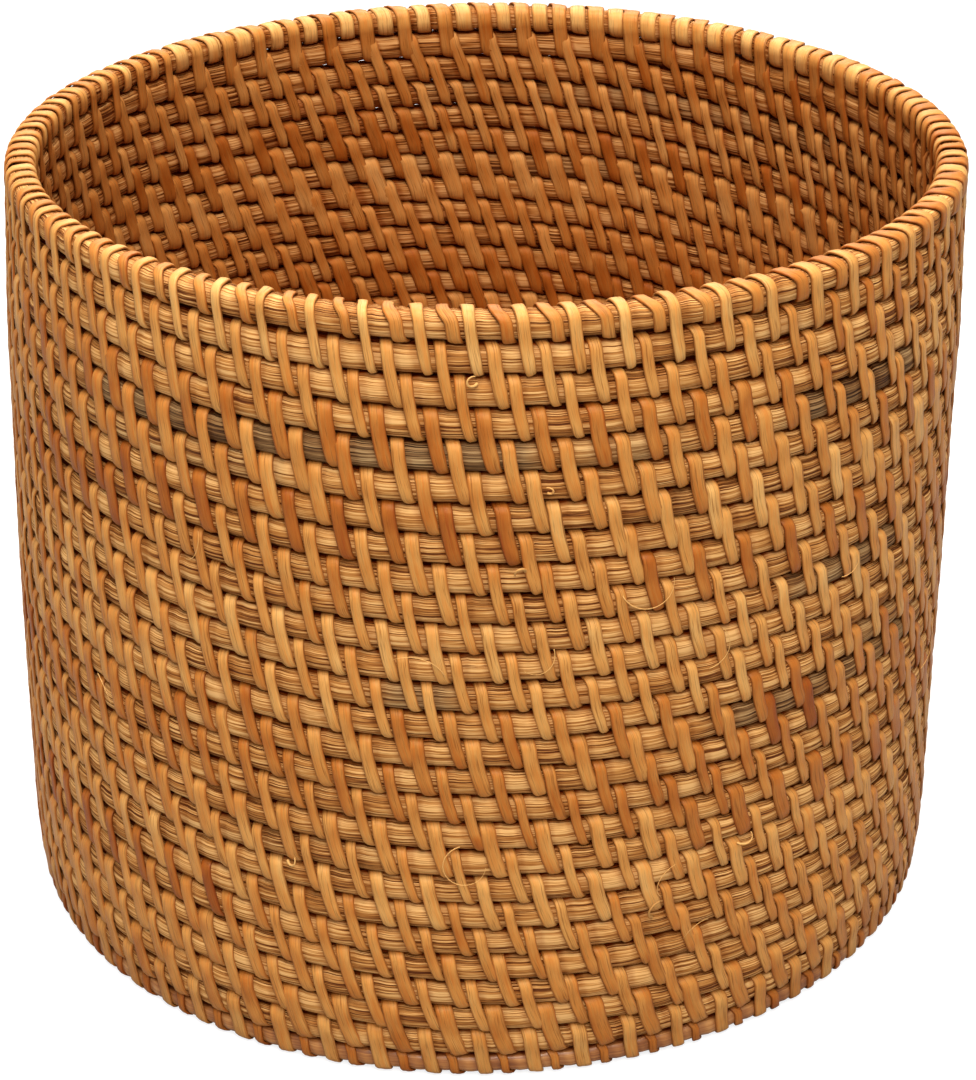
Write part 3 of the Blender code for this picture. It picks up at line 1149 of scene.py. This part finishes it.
def make_floor_material(name):
    """A studio table that the camera sees near white, but that throws little light back up."""
    nodes = Nodes(name)
    speck = nodes.noise(nodes.add("ShaderNodeTexCoord").outputs["Object"], (90.0, 90.0, 90.0))
    colour = nodes.ramp(speck, [(0.3, 0.29), (0.7, 0.31)])
    seen = nodes.add("ShaderNodeLightPath").outputs["Is Camera Ray"]
    nodes.set(
        nodes.shader,
        {
            "Base Color": colour,
            "Roughness": 0.9,
            "Specular IOR Level": 0.1,
            "Emission Color": (1.0, 1.0, 1.0, 1.0),
            "Emission Strength": nodes.math("MULTIPLY", seen, FLOOR_GLOW),
        },
    )
    return nodes.material


# ---------------------------------------------------------------- the basket

def build_basket():
    core = make_core("rattan_core")
    cane = make_cane("cane_strip")
    smooth = make_smooth_cane("smooth_cane")
    finish_piece(add_coil("foot_hoop", FOOT, smooth), "smooth_cane", "foot_ring")
    for course in range(1, RIM):
        coil = add_coil(f"rattan_coil_{course:02d}", course, core)
        finish_piece(coil, "rattan_core", WALL_NODES[course - 1])
    finish_piece(add_coil("rim_hoop", RIM, core), "rattan_core", "rim_rod")
    foot = add_wall_lashing("cane_foot_lashing", FOOT, cane)
    finish_piece(foot, "cane_strip", "foot_lashing")
    for course in range(1, WALL_COILS):
        lashing = add_wall_lashing(f"cane_lashing_{course:02d}", course, cane)
        finish_piece(lashing, "cane_strip", f"wall_lashing_{course:02d}")
    rim = add_wall_lashing("cane_rim_lashing", RIM - 1, cane)
    finish_piece(rim, "cane_strip", "rim_lashing")
    finish_piece(add_base_coil("rattan_base_coil", core), "rattan_core", "base_coil")
    base = add_base_lashing("cane_base_lashing", cane)
    finish_piece(base, "cane_strip", "base_lashing")
    finish_piece(add_stray_fibres("stray_fibres", cane), "cane_strip")


# ---------------------------------------------------------------- studio

# The camera's distance from the basket's middle in outer radii, its angles in degrees and its
# lens in millimetres
CAMERA_DISTANCE = 5.799
CAMERA_ELEVATION = 25.543
CAMERA_DOWN = 1.058
CAMERA_RIGHT = 0.294
CAMERA_ROLL = -0.940
CAMERA_LENS = 87.78

# The floor and the backdrop look brighter to the camera than the light they throw
FLOOR_SIZE = 40.0
FLOOR_GLOW = 0.80
WORLD_STRENGTH = 0.44
BACKDROP_STRENGTH = 0.95
LAMP_COLOUR = (1.0, 0.975, 0.945)

# Soft lamps: name, azimuth and elevation as seen from the basket, distance, size and power
LAMPS = [
    ("key", 4, 50, 1.9, 1.0, 26.5),
    ("front", 0, 16, 1.8, 1.4, 2.0),
    ("top", 0, 84, 1.5, 0.8, 31.0),
    ("back", 180, 40, 1.9, 1.2, 15.0),
]


def add_floor():
    mesh = bpy.data.meshes.new("floor")
    half = FLOOR_SIZE / 2
    corners = [(-half, -half), (half, -half), (half, half), (-half, half)]
    mesh.from_pydata([(x, y, cad_low.z) for x, y in corners], [], [(0, 1, 2, 3)])
    mesh.materials.append(make_floor_material("pale_floor"))
    floor = bpy.data.objects.new("floor", mesh)
    bpy.context.scene.collection.objects.link(floor)


def add_lights(centre):
    world = bpy.data.worlds.new("studio")
    bpy.context.scene.world = world
    world.use_nodes = True
    background = world.node_tree.nodes["Background"]
    background.inputs["Color"].default_value = (1.0, 1.0, 1.0, 1.0)
    seen = world.node_tree.nodes.new("ShaderNodeLightPath").outputs["Is Camera Ray"]
    strength = world.node_tree.nodes.new("ShaderNodeMapRange")
    strength.inputs["To Min"].default_value = WORLD_STRENGTH
    strength.inputs["To Max"].default_value = BACKDROP_STRENGTH
    world.node_tree.links.new(seen, strength.inputs["Value"])
    world.node_tree.links.new(strength.outputs["Result"], background.inputs["Strength"])
    for name, azimuth, elevation, distance, size, power in LAMPS:
        light = bpy.data.lights.new(name, "AREA")
        light.size = size
        light.energy = power
        light.color = LAMP_COLOUR
        lamp = bpy.data.objects.new(name, light)
        turn, rise = math.radians(azimuth), math.radians(elevation)
        back = Vector((math.sin(turn) * math.cos(rise), -math.cos(turn) * math.cos(rise), math.sin(rise)))
        lamp.location = centre + back * distance
        lamp.rotation_euler = (-back).to_track_quat("-Z", "Y").to_euler()
        bpy.context.scene.collection.objects.link(lamp)


def add_camera(centre):
    """The camera stands in front, above the rim, and looks a little right of and below the middle."""
    camera = bpy.data.cameras.new("camera")
    camera.lens = CAMERA_LENS
    camera.clip_start = 0.01
    camera.clip_end = 2 * FLOOR_SIZE
    obj = bpy.data.objects.new("camera", camera)
    rise = math.radians(CAMERA_ELEVATION)
    back = Vector((0.0, -math.cos(rise), math.sin(rise)))
    obj.location = centre + back * CAMERA_DISTANCE * OUTER_RADIUS
    aim = (-back).to_track_quat("-Z", "Y")
    turns = (-math.radians(CAMERA_DOWN), -math.radians(CAMERA_RIGHT), math.radians(CAMERA_ROLL))
    obj.rotation_euler = (aim @ Euler(turns).to_quaternion()).to_euler()
    bpy.context.scene.collection.objects.link(obj)
    bpy.context.scene.camera = obj


build_basket()
middle_of_basket = (cad_low + cad_high) / 2
add_floor()
add_lights(middle_of_basket)
add_camera(middle_of_basket)
bpy.context.scene.view_settings.view_transform = "Standard"
